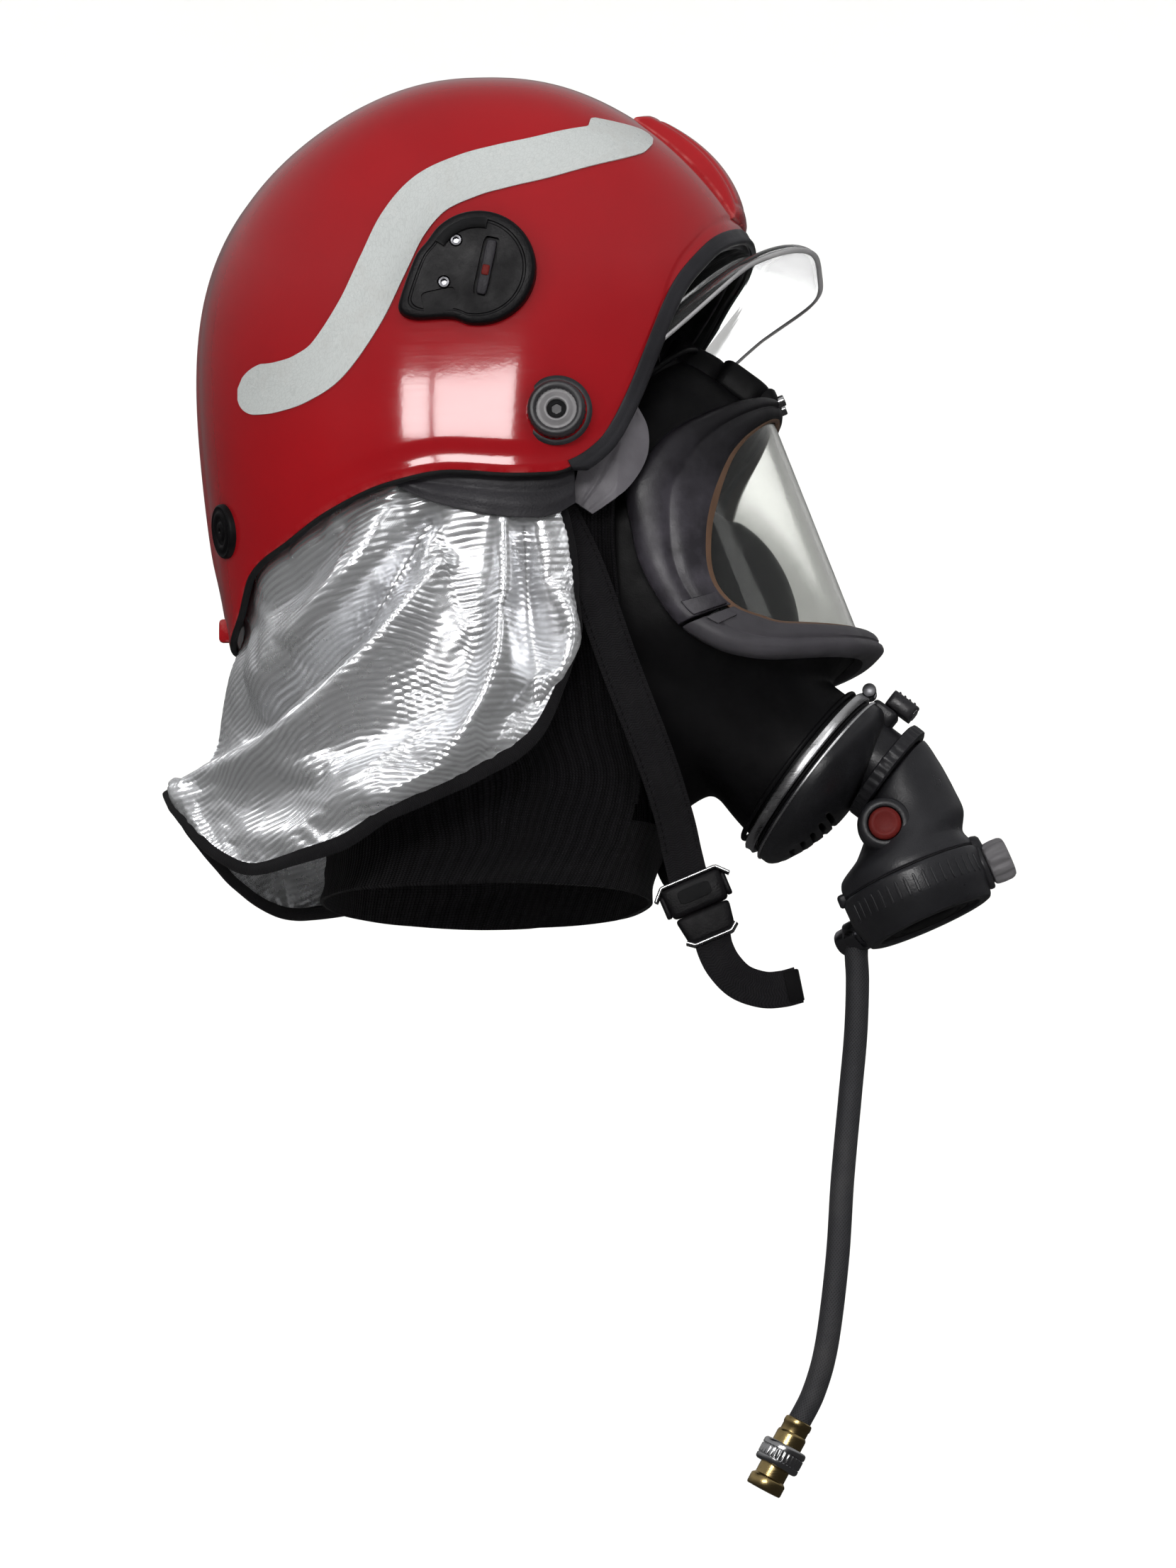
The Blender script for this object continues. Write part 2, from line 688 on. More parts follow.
def rail_recess():
    return loft([rectangle(np.array([RAIL_X, y, BRACKET_Z]),
                           X_AXIS, (-RAIL_HALF_WIDTH, RAIL_HALF_WIDTH),
                           Z_AXIS, (-RAIL_HALF_HEIGHT, RAIL_HALF_HEIGHT))
                 for y in (-BRACKET_Y - CUT_START, -BRACKET_Y + RAIL_DEPTH)])


def bracket_screw(x, z):
    return turned((x, -BRACKET_Y + 2.9, z), -Y_AXIS, [(2.5, 0), (2.5, 2.4), (2.1, 2.9)], 14)


# Centre line of the side stripe, from the back to the front: (x, z)
STRIPE_LINE = [(-108.5, -118.5), (-98, -120.8), (-88.7, -121.1), (-77, -118.5),
               (-64.2, -110.4), (-49.8, -89.7), (-39.2, -67.3), (-30.1, -48.1),
               (-17.8, -33.5), (-0.8, -25), (14.7, -20.3), (31.6, -15.8), (48.4, -10),
               (62.6, -5.1), (75.4, 0), (82, 2.2)]
STRIPE_HALF_WIDTH = 11.5
STRIPE_OUTER, STRIPE_INNER = 1.5, 0.75           # its two faces off the shell
STUD_X, STUD_Z = -117.0, -181.0


def reflective_stripe():
    """Band along the line, laid on the shell, narrower towards both ends."""
    count = 17
    line = spline(STRIPE_LINE, count)
    rows = []
    for i, ((x, z), (run_x, run_z)) in enumerate(zip(line, unit_rows(np.gradient(line, axis=0)))):
        share = i / (count - 1)
        half = STRIPE_HALF_WIDTH * min(1, 0.45 + 6 * share, 0.6 + 9 * (1 - share))
        side = unit(np.cross(side_normal(x, z), (run_x, 0, run_z)))
        flat = [side_point(x, z) + side * half * s for s in (-1, 0, 1)]
        rows.append([side_point(point[0], point[2]) for point in flat])
    return thicken_grid(np.array(rows), STRIPE_OUTER, STRIPE_INNER, outward=BODY_CENTRE)


def rear_stud():
    return turned(side_point(STUD_X, STUD_Z), side_normal(STUD_X, STUD_Z),
                  [(12.2, 1.0), (12.8, 1.6), (12.8, 2.3), (10.5, 3.2)], 22)


def build_side_pieces():
    both("ear_guard", side_patch(EAR_TOP, EAR_LOW, 11, inset=7.0), Finish(GREY, rough=0.45))
    both("cheek_guard", side_patch(CHEEK_BACK, CHEEK_FRONT, 9, inset=12.0, limit=91.5),
         Finish((0.09, 0.09, 0.1), rough=0.5))
    recesses = [cutter(f"screw_recess_{k}", screw_recess(x, z))
                for k, (_, x, z) in enumerate(SCREW_AT)]
    recesses.append(cutter("rail_recess", rail_recess()))
    bracket_finish = Finish(BLACK, rough=0.5)
    piece("lamp_bracket_right", lamp_bracket(), bracket_finish,
          cutters=[(recess, "DIFFERENCE") for recess in recesses])
    piece("lamp_bracket_left", lamp_bracket(), bracket_finish, mirror=True)
    for place, x, z in SCREW_AT:
        piece(f"bracket_screw_{place}", bracket_screw(x, z),
              Finish((0.35, 0.35, 0.36), rough=0.35, metal=0.9))
    both("reflective_stripe", reflective_stripe(), Finish((0.62, 0.66, 0.65), rough=0.35))
    both("rear_stud", rear_stud(), Finish((0.05, 0.02, 0.03), rough=0.4))


# ---------------------------------------------------------------- visor
FLARE_START = 46                 # degrees; below this the middle of the visor kicks outwards
FLARE, FLARE_HALF_WIDTH = 0.15, 92
VISOR_ELEVATIONS = (VISOR_LOW, 38, 42, FLARE_START, 56, 67, 78, VISOR_HIGH)
VISOR_ACROSS = (-86.5, -82, -74, -64, -54, -43, -32, -21, -10, 0,
                10, 21, 32, 43, 54, 64, 74, 82, 86.5)
# Half section of the knob and its shaft: (radius, distance outwards from the shell)
KNOB_PROFILE = [(3.4, -15.6), (PIVOT_R, -15.0), (PIVOT_R, 2.4), (11.8, 2.4), (13.3, 3.4),
                (13.3, 5.6), (11.5, 7.0), (8.2, 7.0), (8.2, 8.4), (3.2, 8.4), (3.2, 5.0)]


def visor_point(elevation, across, scale=1.0, flared=True):
    """elevation is in degrees about the pivot; across is the angle over the visor's width,
    from -90 on the right to 90 on the left."""
    power, angle = 2 / VISOR_EXP, math.radians(across)
    radius = scale * VISOR_R * abs(math.cos(angle))**power
    y = scale * VISOR_W * signed_power(math.sin(angle), power)
    if flared:
        flare = max(0.0, (FLARE_START - elevation) / (FLARE_START - VISOR_LOW))
        radius *= 1 + FLARE * flare**1.6 * max(0.0, 1 - (y / FLARE_HALF_WIDTH)**2)
    angle_up = math.radians(elevation)
    return (PIVOT[0] + radius * math.cos(angle_up), y, PIVOT[2] + radius * math.sin(angle_up))


def visor_lens():
    grid = np.array([[visor_point(elevation, across) for across in VISOR_ACROSS]
                     for elevation in VISOR_ELEVATIONS])
    return thicken_grid(grid, 0.0, -VISOR_T, outward=PIVOT)


def build_visor():
    axis = add_empty("visor_axis", PIVOT)
    piece("visor_lens", visor_lens(),
          Finish((0.85, 0.88, 0.88), rough=0.05, transmission=0.8), at=PIVOT, parent=axis)
    knob_at = side_point(PIVOT[0], PIVOT[2])
    both("visor_knob", turned(knob_at, -Y_AXIS, KNOB_PROFILE, 15), Finish(GREY, rough=0.4),
         at=knob_at, parent=axis)


# ---------------------------------------------------------------- nape ratchet
RATCHET_Z = -118.0
KNOB_RINGS = ((-107.4, 11.5), (-108.2, 13.0), (-113.0, 13.0), (-114.0, 11.5))  # (x, radius)
NAPE_HALF_WIDTH, NAPE_HALF_HEIGHT, NAPE_T = 79.0, 6.0, 1.6


def ratchet_housing():
    phi = np.linspace(0, 2 * math.pi, 24, endpoint=False)
    upright = superellipse(0, 15, 30, phi, 3.0, 0)[:, [2, 1, 0]]
    return loft([upright + (x, 0, RATCHET_Z) for x in (-100.8, -107.0)])


def ratchet_knob():
    return loft([fluted_circle((x, 0, RATCHET_Z), Y_AXIS, Z_AXIS, radius, 36,
                               flutes=12, depth=0.8) for x, radius in KNOB_RINGS])


def nape_band():
    points = [(BAND_CENTRE_X + BAND_HALF_LENGTH * math.cos(angle),
               -NAPE_HALF_WIDTH * math.sin(angle), z)
              for z in (RATCHET_Z + NAPE_HALF_HEIGHT, RATCHET_Z - NAPE_HALF_HEIGHT)
              for angle in np.radians(np.linspace(120, 158, 9))]
    return thicken(points, grid_faces(2, 9), 0.0, -NAPE_T, outward=(0, 0, RATCHET_Z))


def build_ratchet():
    piece("ratchet_housing", ratchet_housing(), Finish(GREY, rough=0.55))
    piece("ratchet_knob", ratchet_knob(), Finish(BLACK, rough=0.5),
          at=(KNOB_RINGS[0][0], 0, RATCHET_Z))
    both("nape_band", nape_band(), Finish(BLACK, rough=0.55))


# ---------------------------------------------------------------- neck curtain
# Right half of the hem, from the front edge to the middle of the back: (x, y, z)
CURTAIN_HEM = [(47, -96, -240), (44, -99, -256), (29, -104, -285), (1, -108, -303),
               (-35, -110, -320), (-56, -106, -332), (-76, -98, -338), (-100, -80, -342),
               (-120, -60, -332), (-138, -35, -312), (-147, 0, -297)]
CURTAIN_COLUMNS, CURTAIN_ROWS = 12, 6
CURTAIN_OVERLAP = 12.0           # the curtain starts this far above the shell's edge
CURTAIN_HALF_T = 1.0
CURTAIN_CENTRE = (-30, 0, -250)
BINDING_OUT = 3.7
BINDING_SECTION = [(-1.5, -1.7), (1.5, -1.7), (1.5, 1.7), (-1.5, 1.7)]


def curtain_top(count):
    """Where the curtain is fixed: inside the shell, a little above its lower edge."""
    phi = np.linspace(math.radians(76), math.pi, count)
    z = rim_z(phi) + CURTAIN_OVERLAP
    points = shell_point(phi, z)
    centre_x, half_length, half_width = section(z)
    return np.stack([centre_x + (points[:, 0] - centre_x) * (1 - 9.0 / half_length),
                     -points[:, 1] * (1 - 14.0 / half_width), z], 1)


def curtain_grid():
    """Rows from the top to the hem; columns from the right front edge round to the left."""
    columns, rows = CURTAIN_COLUMNS, CURTAIN_ROWS
    top, hem = spline(curtain_top(4 * columns), columns), spline(CURTAIN_HEM, columns)
    back = np.linspace(0, 1, columns)[:, None]           # 0 at the front edge, 1 behind
    exponent = 0.85 + 1.1 * back * back * (3 - 2 * back)
    grid = []
    for i in range(rows):
        share = i / (rows - 1)
        row = top + (hem - top) * share
        row[:, :2] = top[:, :2] + (hem - top)[:, :2] * share**exponent
        bulge = math.sin(math.pi * share)
        grid.append(row + np.array([7.0, 0, 0]) * bulge * (1 - back)**6)
    grid = np.array(grid)
    return np.concatenate([grid, grid[:, -2::-1] * MIRROR], 1)


def curtain_binding(grid):
    """Strip along the hem and most of both front edges."""
    path = np.vstack([grid[2:-1, 0], grid[-1], grid[2:-1, -1][::-1]])
    out = path - np.array([-30, 0, -200.0])
    out[:, 1] *= 0.15
    path = spline(path + unit_rows(out) * BINDING_OUT, 40)
    return sweep(path, BINDING_SECTION, up=unit_rows(path - np.array(CURTAIN_CENTRE)))


def build_curtain():
    grid = curtain_grid()
    piece("neck_curtain",
          thicken_grid(grid, CURTAIN_HALF_T, -CURTAIN_HALF_T, outward=CURTAIN_CENTRE),
          Finish((0.75, 0.76, 0.77), rough=0.3, metal=0.9))
    piece("curtain_binding", curtain_binding(grid), Finish(BLACK, rough=0.8))


# ---------------------------------------------------------------- knitted hood
# Level sections: (z, centre x, half length, half width, exponent, x of the opening's edge)
HOOD = [(-150, 2, 94, 87, 3.0, 66), (-185, 2, 94, 85, 3.0, 64), (-215, 4, 92, 82, 3.0, 66),
        (-245, 6, 88, 78, 3.0, 69), (-275, 8, 84, 75, 2.9, 71), (-300, 8, 84, 73, 2.7, 76),
        (-318, 7, 82, 74, 2.4, 72), (-335, 4, 78, 80, 2.2, 66), (-350, 2, 78, 88, 2.2, 60)]
HOOD_CLOSED = 6                  # the rows from here down are closed in front, under the chin
HOOD_BACK, HOOD_FRONT = 17, 4    # columns round the back and across the front
HOOD_T = 2.0


def hood():
    """Columns run from the right edge of the face opening round the back to its left edge,
    then across the front."""
    rows = []
    for z, centre_x, half_length, half_width, exponent, open_x in HOOD:
        edge = math.acos(((open_x - centre_x) / half_length)**(exponent / 2))
        phi = np.concatenate([
            np.linspace(-edge, -2 * math.pi + edge, HOOD_BACK),
            np.linspace(edge, -edge, HOOD_FRONT + 2)[1:-1] - 2 * math.pi])
        rows.append(superellipse(centre_x, half_length, half_width, phi, exponent, z))
    faces = grid_faces(len(HOOD), HOOD_BACK + HOOD_FRONT, wrap=True,
                       keep=lambda i, j: j < HOOD_BACK - 1 or i >= HOOD_CLOSED)
    return thicken(np.vstack(rows), faces, 0.0, -HOOD_T, outward=(0, 0, -250))


def build_hood():
    piece("hood", hood(), Finish((0.02, 0.02, 0.022), rough=0.95))


# ---------------------------------------------------------------- mask: lens, frame, skin
LENS_DOWN = unit(LENS_RUN)
LENS_OUT = np.array([-LENS_DOWN[2], 0, LENS_DOWN[0]])

# Right half outlines of the frame ring, from the top median to the bottom median:
# (degrees round from the median, distance down the lens)
RING_OUT = [(0, -4), (30, -3), (55, 0), (72, 5), (84, 14), (92, 22), (96, 45), (97, 58),
            (96, 72), (93, 88), (86, 102), (76, 113), (60, 121), (30, 126), (0, 127)]
RING_IN = [(0, 5), (20, 8), (38, 14), (50, 21.6), (59, 32), (66, 43), (71, 54), (75, 68),
           (75.5, 80), (72, 91), (65, 99), (55, 106), (30, 112), (0, 114)]
# (share of the way from the outer to the inner outline, lift off the lens cylinder)
RING_SECTION = ((0.0, -3.0), (0.0, 3.5), (0.18, 6.0), (0.85, 4.6), (1.0, 2.6), (1.0, 0.9),
                (0.70, 0.9), (0.64, -3.0))
RING_JOINT = 0.60                # share of the half outline where the two parts meet
RING_JOINT_HALF_GAP = 0.005

# Right half of the face seal, from the forehead to the chin: (x, y, z)
SEAL_LINE = [(99, 0, -94), (90, -34, -99), (72, -57, -118), (59, -63, -150), (54, -65, -190),
             (57, -63, -232), (67, -53, -268), (82, -36, -298), (93, 0, -310)]
SKIN_T = 3.0


def lens_point(theta, down, lift=0.0):
    """Point on the lens cylinder: theta degrees round from the median, + is to the right."""
    theta = math.radians(theta)
    radius = LENS_R + lift
    return (LENS_TOP + LENS_DOWN * down + LENS_OUT * (radius * math.cos(theta) - LENS_R)
            - Y_AXIS * (radius * math.sin(theta)))


def ring_curves(count):
    """The ring's outer and inner outlines, evenly spaced on the unrolled cylinder."""
    unrolled = np.array([LENS_R * math.pi / 180, 1.0])
    return [spline(np.array(line) * unrolled, count) / unrolled for line in (RING_OUT, RING_IN)]


def lens_ring(start, end, count):
    """Part of the frame ring between two shares of the half outline, both sides."""
    outer, inner = ring_curves(101)
    stations = np.clip(np.round(np.linspace(start, end, count) * 100).astype(int), 0, 100)
    right = [np.array([lens_point(*(outer[k] + (inner[k] - outer[k]) * share), lift)
                       for share, lift in RING_SECTION]) for k in stations]
    if start == 0.0:
        return loft([loop * MIRROR for loop in right[:0:-1]] + right)
    return loft(right + [loop * MIRROR for loop in right[-2::-1]])


def mask_lens():
    """Clear cylindrical sheet held in the rebate behind the ring's inner edge."""
    outer, inner = ring_curves(13)
    edge = inner + (outer - inner) * 0.2
    grid = np.array([[lens_point(theta * s, down, 0.2) for s in np.linspace(1, -1, 9)]
                     for theta, down in edge[1:-1]])
    return thicken_grid(grid, 0.0, -2.2, outward=(LENS_TOP[0] - LENS_R, 0, -180))


def ring_screw():
    return turned(lens_point(8, -1.5, 6.0), LENS_OUT, [(2.6, 0), (2.6, 2.0), (2.1, 2.6)], 12)


def skin_rows(half_count):
    """Loops of the skin from the face seal to the lens ring."""
    seal = mirrored_loop(spline(SEAL_LINE, half_count))
    outer, inner = ring_curves(half_count)
    under_ring = mirrored_loop(np.array([lens_point(theta, down, -4.2) for theta, down
                                         in outer + (inner - outer) * 0.32]))
    rows = []
    for share in (0.0, 0.2, 0.42, 0.64, 0.84, 1.0):
        row = seal + (under_ring - seal) * share
        out = row - row.mean(0)
        out[:, 0] = 0
        rows.append(row + unit_rows(out) * 4 * math.sin(math.pi * share) * (1 - share))
    return np.array(rows)


def facepiece():
    """Rubber skin from the face seal to the lens ring, with a neck that runs down to the port.
    A block of the skin's faces under the lens is left out, and the neck grows from its edge."""
    half_count, half_block = 15, 5
    rows = skin_rows(half_count)
    columns = rows.shape[1]
    left, right = half_count - 1 - half_block, half_count - 1 + half_block
    top, bottom = 1, 4
    faces = grid_faces(len(rows), columns, wrap=True,
                       keep=lambda i, j: not (top <= i < bottom and left <= j < right))
    edge = ([(top, j) for j in range(left, right + 1)]
            + [(i, right) for i in range(top + 1, bottom)]
            + [(bottom, j) for j in range(right, left - 1, -1)]
            + [(i, left) for i in range(bottom - 1, top, -1)])
    from_port = np.array([rows[i, j] for i, j in edge]) - PORT_CENTRE
    along, up = from_port @ PORT_AXIS, from_port @ PORT_UP
    angle, radius = np.arctan2(from_port[:, 1], up), np.hypot(up, from_port[:, 1])
    points = rows.reshape(-1, 3)
    size = len(edge)
    previous = [i * columns + j for i, j in edge]
    for share in (0.3, 0.55, 0.8, 0.92, 1.0):
        ring_radius = NECK_R + (radius - NECK_R) * max(0.0, 1 - share / 0.9)**1.6
        ring = (PORT_CENTRE + np.outer(along * (1 - share), PORT_AXIS)
                + np.outer(ring_radius * np.cos(angle), PORT_UP))
        ring[:, 1] = ring_radius * np.sin(angle)
        now = list(range(len(points), len(points) + size))
        points = np.vstack([points, ring])
        faces += [(previous[k], previous[(k + 1) % size], now[(k + 1) % size], now[k])
                  for k in range(size)]
        previous = now
    return thicken(points, faces, 0.0, -SKIN_T, outward=(100, 0, -200))


def build_mask():
    ring_finish = Finish(RING_BLACK, rough=0.35)
    piece("lens_ring_upper", lens_ring(0.0, RING_JOINT - RING_JOINT_HALF_GAP, 15), ring_finish)
    piece("lens_ring_lower", lens_ring(RING_JOINT + RING_JOINT_HALF_GAP, 1.0, 11), ring_finish)
    piece("mask_lens", mask_lens(), Finish((0.85, 0.9, 0.88), rough=0.05, transmission=0.85))
    both("ring_screw", ring_screw(), Finish((0.6, 0.6, 0.6), rough=0.25, metal=1.0))
    piece("facepiece", facepiece(), Finish(BLACK, rough=0.6), sharp=45)


# ---------------------------------------------------------------- port
def tilted_axes(tilt):
    """Axis tilted below +X by an angle in radians, and the direction square to it upwards."""
    return (np.array([math.cos(tilt), 0, -math.sin(tilt)]),
            np.array([math.sin(tilt), 0, math.cos(tilt)]))


PORT_AXIS, PORT_UP = tilted_axes(PORT_TILT)
PLUG_CENTRE = PORT_CENTRE + PORT_UP * PLUG_UP
EXHALATION_AT = PORT_CENTRE - PORT_UP * 20.5 + PORT_AXIS * 2.4
LATCH_AT = PLUG_CENTRE + PORT_UP * 25.8 + PORT_AXIS * 13.0

# Half sections about the port axis: (radius, distance along the axis)
CLAMP_IN, CLAMP_OUT = NECK_R + 0.7, NECK_R + 3.7
CLAMP_PROFILE = [(CLAMP_IN, -5.6), (CLAMP_OUT, -5.6), (CLAMP_OUT, -1.0), (CLAMP_IN, -1.0)]
HOUSING_PROFILE = [(39.0, 1.0), (45.0, 1.0), (45.0, 8.0), (42.5, 11.5), (30.0, 17.0),
                   (12.0, 22.0)]
CAVITY_PROFILE = [(35.0, -5.0), (35.0, 6.0), (28.0, 12.5), (12.0, 17.5)]
LOCK_RING_PROFILE = [(20.9, 22.6), (24.2, 22.6), (25.0, 23.6), (25.0, 28.6), (24.2, 29.6),
                     (20.9, 29.6)]
GRILLE_SLOTS, GRILLE_PITCH, GRILLE_FIRST_DOWN = 5, 5.6, 12.0
GRILLE_HALF_HEIGHT = 1.2
LATCH_SECTIONS = ((-1.2, 6.5), (0.0, 7.5), (5.0, 7.5), (7.0, 5.5))   # (height, half width)


def clamp_band_screw():
    start = PORT_CENTRE - PORT_AXIS * 3.3 + PORT_UP * 47.9 - Y_AXIS * 7
    return turned(start, Y_AXIS, [(2.2, 0), (2.2, 14)], 12)


def latch_boss():
    return loft([rectangle(PORT_CENTRE + PORT_UP * height, PORT_AXIS, (1.6, 15.0),
                           Y_AXIS, (-8.5, 8.5)) for height in (38.0, 47.0)])


def grille_slot(k):
    """Slot k below the port axis; each is narrower than the one above."""
    down = GRILLE_FIRST_DOWN + GRILLE_PITCH * k
    centre = PORT_CENTRE + PORT_AXIS * 14.0 - PORT_UP * down
    half_width = 24.0 - 3.0 * k
    return loft([rectangle(centre + PORT_AXIS * along,
                           PORT_UP, (-GRILLE_HALF_HEIGHT, GRILLE_HALF_HEIGHT),
                           Y_AXIS, (-half_width, half_width)) for along in (-9.0, 12.0)])


def exhalation_valve():
    return turned(EXHALATION_AT, PORT_AXIS, [(8.0, 0), (8.0, 1.2), (2.0, 1.8), (2.0, 4.0)], 20)


def release_latch():
    return loft([rectangle(LATCH_AT + PORT_UP * height, PORT_AXIS, (-7.0, 7.0),
                           Y_AXIS, (-half_width, half_width))
                 for height, half_width in LATCH_SECTIONS])


def port_housing_cutters():
    cavity = turned(PORT_CENTRE, PORT_AXIS, CAVITY_PROFILE, 24)
    plug_hole = turned(PLUG_CENTRE, PORT_AXIS, [(18.6, -2), (18.6, 40)], 24)
    return [(cutter("latch_boss", latch_boss()), "UNION"),
            (cutter("port_cavity", cavity), "DIFFERENCE"),
            (cutter("plug_hole", plug_hole), "DIFFERENCE"),
            *((cutter(f"grille_slot_{k}", grille_slot(k)), "DIFFERENCE")
              for k in range(GRILLE_SLOTS))]


def build_port():
    piece("clamp_band", turned(PORT_CENTRE, PORT_AXIS, CLAMP_PROFILE, 40, ring=True),
          Finish((0.75, 0.75, 0.75), rough=0.25, metal=1.0))
    piece("clamp_band_screw", clamp_band_screw(),
          Finish((0.7, 0.7, 0.7), rough=0.3, metal=1.0))
    piece("port_housing", turned(PORT_CENTRE, PORT_AXIS, HOUSING_PROFILE, 22),
          Finish(BLACK, rough=0.5), cutters=port_housing_cutters())
    piece("speech_diaphragm",
          turned(PORT_CENTRE - PORT_AXIS * 4.0, PORT_AXIS, [(26, 0), (26, 1.2)], 24),
          Finish((0.6, 0.6, 0.6), rough=0.3, metal=1.0))
    piece("exhalation_valve", exhalation_valve(), Finish((0.1, 0.1, 0.1), rough=0.7),
          at=EXHALATION_AT)
    piece("lock_ring", turned(PLUG_CENTRE, PORT_AXIS, LOCK_RING_PROFILE, 26, ring=True),
          Finish((0.03, 0.03, 0.032), rough=0.4), at=PLUG_CENTRE)
    piece("release_latch", release_latch(), Finish((0.06, 0.06, 0.065), rough=0.4),
          at=LATCH_AT)


# ---------------------------------------------------------------- demand valve
BASE_AXIS, BASE_UP = tilted_axes(BASE_TILT)
BUTTON_CENTRE = np.array([188.5, 0, -316.5])
BUTTON_AT = BUTTON_CENTRE - Y_AXIS * 22.0
PURGE_AT = BASE_CENTRE + BASE_AXIS * 15.5
LEVER_AT = BASE_CENTRE - BASE_AXIS * 2.0 + BASE_UP * 14.0
BYPASS_AT = BASE_CENTRE + BASE_UP * 34.8 + BASE_AXIS * 11.0

PLUG_R = 17.9
# Elbow of the body: (x, z, share of the turn from the port tilt to the base tilt, radius)
ELBOW = ((194.5, -296.5, 0.3, 23.0), (199.0, -307, 0.65, 24.0), (200.0, -318, 0.95, 27.0))
# Half sections about the base axis: (radius, distance along the axis)
BASE_PROFILE = [(29.0, 0.3), (33.4, 0.3), (34.2, 2.0), (34.2, 13.0), (32.2, 19.0),
                (30.5, BASE_H), (25.0, BASE_H), (25.0, 20.5), (28.4, 20.5)]
PURGE_PROFILE = [(27.4, 0), (27.4, 4.0), (24.4, 4.4), (24.4, 8.0), (12.0, 9.0)]
# (distance down from the lever's origin, half width, shift along the base axis)
LEVER_SECTIONS = ((-2.0, 3.5, 0.0), (4.0, 3.5, 0.0), (14.0, 2.2, 3.5), (26.0, 2.0, 6.5))
BYPASS_RINGS = ((0, 8.5, 0.0), (1.5, 9.5, 0.5), (9.0, 10.0, 0.5), (11.0, 8.5, 0.0))
# BYPASS_RINGS columns: distance up, radius, depth of the flutes


def valve_body():
    elbow = [circle((x, 0, z), tilted_axes(PORT_TILT + (BASE_TILT - PORT_TILT) * share)[0],
                    radius, 18) for x, z, share, radius in ELBOW]
    return loft([circle(PLUG_CENTRE + PORT_AXIS * 6, PORT_AXIS, PLUG_R, 18),
                 circle(PLUG_CENTRE + PORT_AXIS * 29.9, PORT_AXIS, PLUG_R, 18),
                 circle(PLUG_CENTRE + PORT_AXIS * 29.95, PORT_AXIS, 22.0, 18),
                 *elbow,
                 circle(BASE_CENTRE - BASE_AXIS * 6.5, BASE_AXIS, 31.5, 18),
                 circle(BASE_CENTRE - BASE_AXIS * 0.4, BASE_AXIS, 32.5, 18)])


def valve_bore():
    return loft([circle(PLUG_CENTRE - PORT_AXIS * 2, PORT_AXIS, 13.0, 16),
                 circle(PLUG_CENTRE + PORT_AXIS * 24, PORT_AXIS, 13.0, 16),
                 circle((196.0, 0, -302.0), (0.75, 0, -0.66), 15.0, 16),
                 circle(BASE_CENTRE - BASE_AXIS * 8.0, BASE_AXIS, 24.0, 16),
                 circle(BASE_CENTRE + BASE_AXIS * 10, BASE_AXIS, 27.0, 16)])


def valve_body_cutters():
    boss = turned(BUTTON_CENTRE - Y_AXIS * 12, -Y_AXIS,
                  [(11.6, 0), (11.6, 13.2), (10.6, 14.2)], 24)
    button_bore = turned(BUTTON_CENTRE - Y_AXIS * 17.5, -Y_AXIS, [(8.0, 0), (8.0, 16)], 22)
    return [(cutter("button_boss", boss), "UNION"),
            (cutter("valve_bore", valve_bore()), "DIFFERENCE"),
            (cutter("button_bore", button_bore), "DIFFERENCE")]


def demand_lever():
    return loft([rectangle(LEVER_AT - BASE_UP * down + BASE_AXIS * shift,
                           BASE_AXIS, (-0.7, 0.7), Y_AXIS, (-half_width, half_width))
                 for down, half_width, shift in LEVER_SECTIONS])


def bypass_knob():
    return loft([fluted_circle(BYPASS_AT + BASE_UP * up, BASE_AXIS, Y_AXIS, radius, 32,
                               flutes=8, depth=depth) for up, radius, depth in BYPASS_RINGS])


def build_valve():
    axis = add_empty("valve_axis", PLUG_CENTRE)
    piece("valve_body", valve_body(), Finish(BLACK, rough=0.42), at=PLUG_CENTRE, parent=axis,
          cutters=valve_body_cutters())
    piece("reset_button", turned(BUTTON_AT, -Y_AXIS, [(7.6, 0), (7.6, 5.0), (6.6, 6.0)], 24),
          Finish((0.25, 0.03, 0.02), rough=0.35), at=BUTTON_AT, parent=axis)
    piece("valve_base_ring", turned(BASE_CENTRE, BASE_AXIS, BASE_PROFILE, 24, ring=True),
          Finish((0.03, 0.03, 0.035), rough=0.42), at=PLUG_CENTRE, parent=axis)
    piece("purge_cover", turned(PURGE_AT, BASE_AXIS, PURGE_PROFILE, 22),
          Finish((0.025, 0.025, 0.028), rough=0.8), at=PURGE_AT, parent=axis)
    piece("demand_lever", demand_lever(), Finish((0.6, 0.6, 0.6), rough=0.3, metal=1.0),
          at=LEVER_AT, parent=axis)
    piece("bypass_knob", bypass_knob(), Finish((0.10, 0.10, 0.11), rough=0.5),
          at=BYPASS_AT, parent=axis)


# ---------------------------------------------------------------- supply hose
HOSE_TURN = math.radians(35)     # the hose leaves this far to the left of straight down
HOSE_OUT = -BASE_UP * math.cos(HOSE_TURN) + Y_AXIS * math.sin(HOSE_TURN)
HOSE_START = BASE_CENTRE + BASE_AXIS * 14.0 + HOSE_OUT * 36.8
HOSE_LINE = [HOSE_START, HOSE_START + HOSE_OUT * 4.0 + BASE_AXIS * 1.0, (174.0, 24.0, -371.5),
             (174.5, 23.0, -385), (173.6, 20, -410), (171, 12, -440), (167.5, 5, -479),
             (165, 0, -517), (160, 0, -556), (154, 0, -578), (146, 0, -594)]
# Half sections about the hose's end: (radius, distance along)
COUPLING_PROFILE = [(6.4, 0), (6.4, 4.0), (7.2, 4.5), (7.2, 27.0), (8.6, 27.5), (8.6, 33.0)]
COLLAR_PROFILE = [(7.5, 10.0), (10.0, 10.0), (10.6, 11.0), (10.6, 20.0), (10.0, 21.0),
                  (7.5, 21.0)]


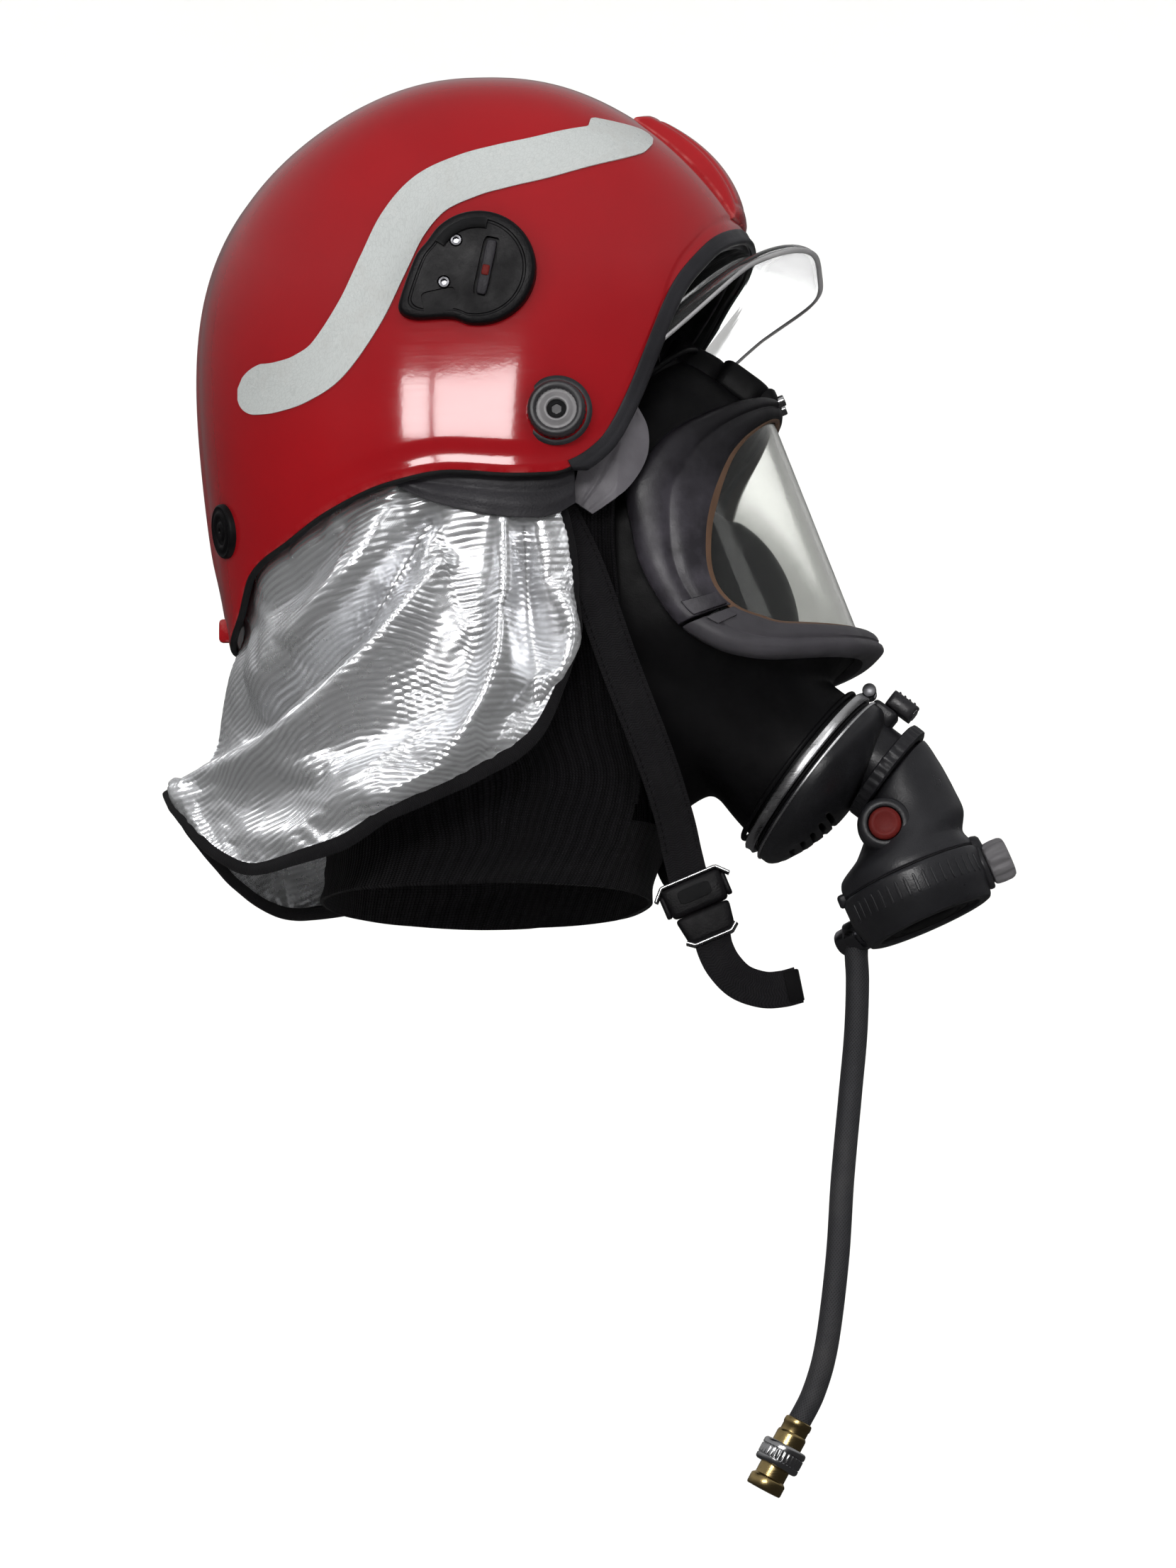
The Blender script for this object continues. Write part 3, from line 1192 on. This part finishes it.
def build_hose():
    axis = add_empty("hose_axis", HOSE_START)
    path = spline(HOSE_LINE, 22)
    hose_section = [(HOSE_R * math.cos(angle), HOSE_R * math.sin(angle))
                    for angle in np.linspace(0, 2 * math.pi, 10, endpoint=False)]
    piece("hose", sweep(path, hose_section, up=Y_AXIS), Finish((0.03, 0.03, 0.034), rough=0.6),
          at=HOSE_START, parent=axis)
    end_run = unit(path[-1] - path[-2])
    coupling_at = path[-1] + end_run * 0.4
    piece("hose_coupling", turned(coupling_at, end_run, COUPLING_PROFILE, 20),
          Finish((0.7, 0.6, 0.35), rough=0.3, metal=1.0), at=HOSE_START, parent=axis)
    piece("coupling_collar", turned(coupling_at, end_run, COLLAR_PROFILE, 24, ring=True),
          Finish((0.7, 0.7, 0.7), rough=0.3, metal=1.0), at=coupling_at, parent=axis)


# ---------------------------------------------------------------- inner mask and harness
CUP_CENTRE = np.array([103.0, 0, -226.0])
CUP_RADII = np.array([46.0, 34.0, 62.0])
TEMPLE_LINE = [(52, -85.2, -162), (20, -89.5, -150), (-20, -91, -138), (-60, -80, -134)]


def nose_cup():
    """Front part of an ellipsoid."""
    rows, columns = 6, 18
    points = []
    for i in range(rows):
        polar = math.radians(12 + 88 * i / (rows - 1))
        for j in range(columns):
            around = 2 * math.pi * j / columns
            points.append(CUP_CENTRE + CUP_RADII * np.array(
                [math.cos(polar), math.sin(polar) * math.cos(around),
                 math.sin(polar) * math.sin(around)]))
    sheet = close_with_fan(points, grid_faces(rows, columns, wrap=True), columns,
                           CUP_CENTRE + CUP_RADII * X_AXIS)
    return thicken(*sheet, 0.0, -2.0, outward=CUP_CENTRE - X_AXIS * 40)


def build_inner_mask():
    piece("nose_cup", nose_cup(), Finish((0.03, 0.03, 0.035), rough=0.6))
    both("temple_strap", strap(TEMPLE_LINE, 9, half_width=8.0, thickness=1.6,
                               facing=lambda point: (point[0] * 0.3, point[1], 0)),
         Finish((0.03, 0.03, 0.03), rough=0.8))


# ---------------------------------------------------------------- chin strap
CHIN_RIGHT = [(36, -88, -172), (52, -90, -205), (68, -84, -250), (84, -66, -292),
              (92, -47, -316), (95.5, -39.5, -331)]
CHIN_LEFT = [(36, 88, -172), (50, 90, -205), (64, 85, -250), (78, 66, -296), (90, 34, -330),
             (97, -4, -338), (100, -20, -341)]
TAIL_LINE = [(107.5, -41, -375.0), (112, -40, -383), (121, -38, -392), (132, -36, -395),
             (148, -34, -393)]
CHIN_HALF_WIDTH, CHIN_T = 9.5, 1.8
BUCKLE_RUN = np.array([0.40, 0, -0.9165])        # the way the strap runs through the buckle
BUCKLE_ACROSS = np.array([0.9165, 0, 0.40])
BUCKLE_BEVEL = 1.5
SOCKET_CENTRE = np.array([94.5, -41.0, -345])
PLUG_PART_CENTRE = np.array([102.3, -41.0, -363.2])


def left_strap_facing(point):
    """The left strap faces outwards until it passes under the chin."""
    return (0.35, 1, -0.2) if point[1] > 20 else (0.2, 0.2, -1)


def buckle_plate(centre, half_across, half_run, thickness):
    """Flat block with bevelled corners."""
    a, b, bevel = half_across, half_run, BUCKLE_BEVEL
    corners = [(-a + bevel, -b), (a - bevel, -b), (a, -b + bevel), (a, b - bevel),
               (a - bevel, b), (-a + bevel, b), (-a, b - bevel), (-a, -b + bevel)]
    normal = np.cross(BUCKLE_ACROSS, BUCKLE_RUN)
    return loft([np.array([centre + normal * s + BUCKLE_ACROSS * p + BUCKLE_RUN * q
                           for p, q in corners]) for s in (-thickness / 2, thickness / 2)])


def build_chin_strap():
    webbing = Finish(WEBBING_BLACK, rough=0.85)
    buckle = Finish(BUCKLE_BLACK, rough=0.5)
    piece("chin_strap_right", strap(CHIN_RIGHT, 12, CHIN_HALF_WIDTH, CHIN_T,
                                    facing=lambda point: (0.35, -1, 0)), webbing)
    piece("chin_strap_left", strap(CHIN_LEFT, 13, CHIN_HALF_WIDTH, CHIN_T,
                                   facing=left_strap_facing), webbing)
    piece("buckle_socket", buckle_plate(SOCKET_CENTRE, 16, 9.0, thickness=5.0), buckle)
    piece("buckle_plug", buckle_plate(PLUG_PART_CENTRE, 15, 9.5, thickness=4.2), buckle,
          at=PLUG_PART_CENTRE)
    piece("strap_tail", strap(TAIL_LINE, 9, half_width=8.0, thickness=1.6,
                              facing=lambda point: (0, -1, 0)), webbing, at=PLUG_PART_CENTRE)


build_shell()
build_interior()
build_side_pieces()
build_visor()
build_ratchet()
build_curtain()
build_hood()
build_mask()
build_port()
build_valve()
build_hose()
build_inner_mask()
build_chin_strap()
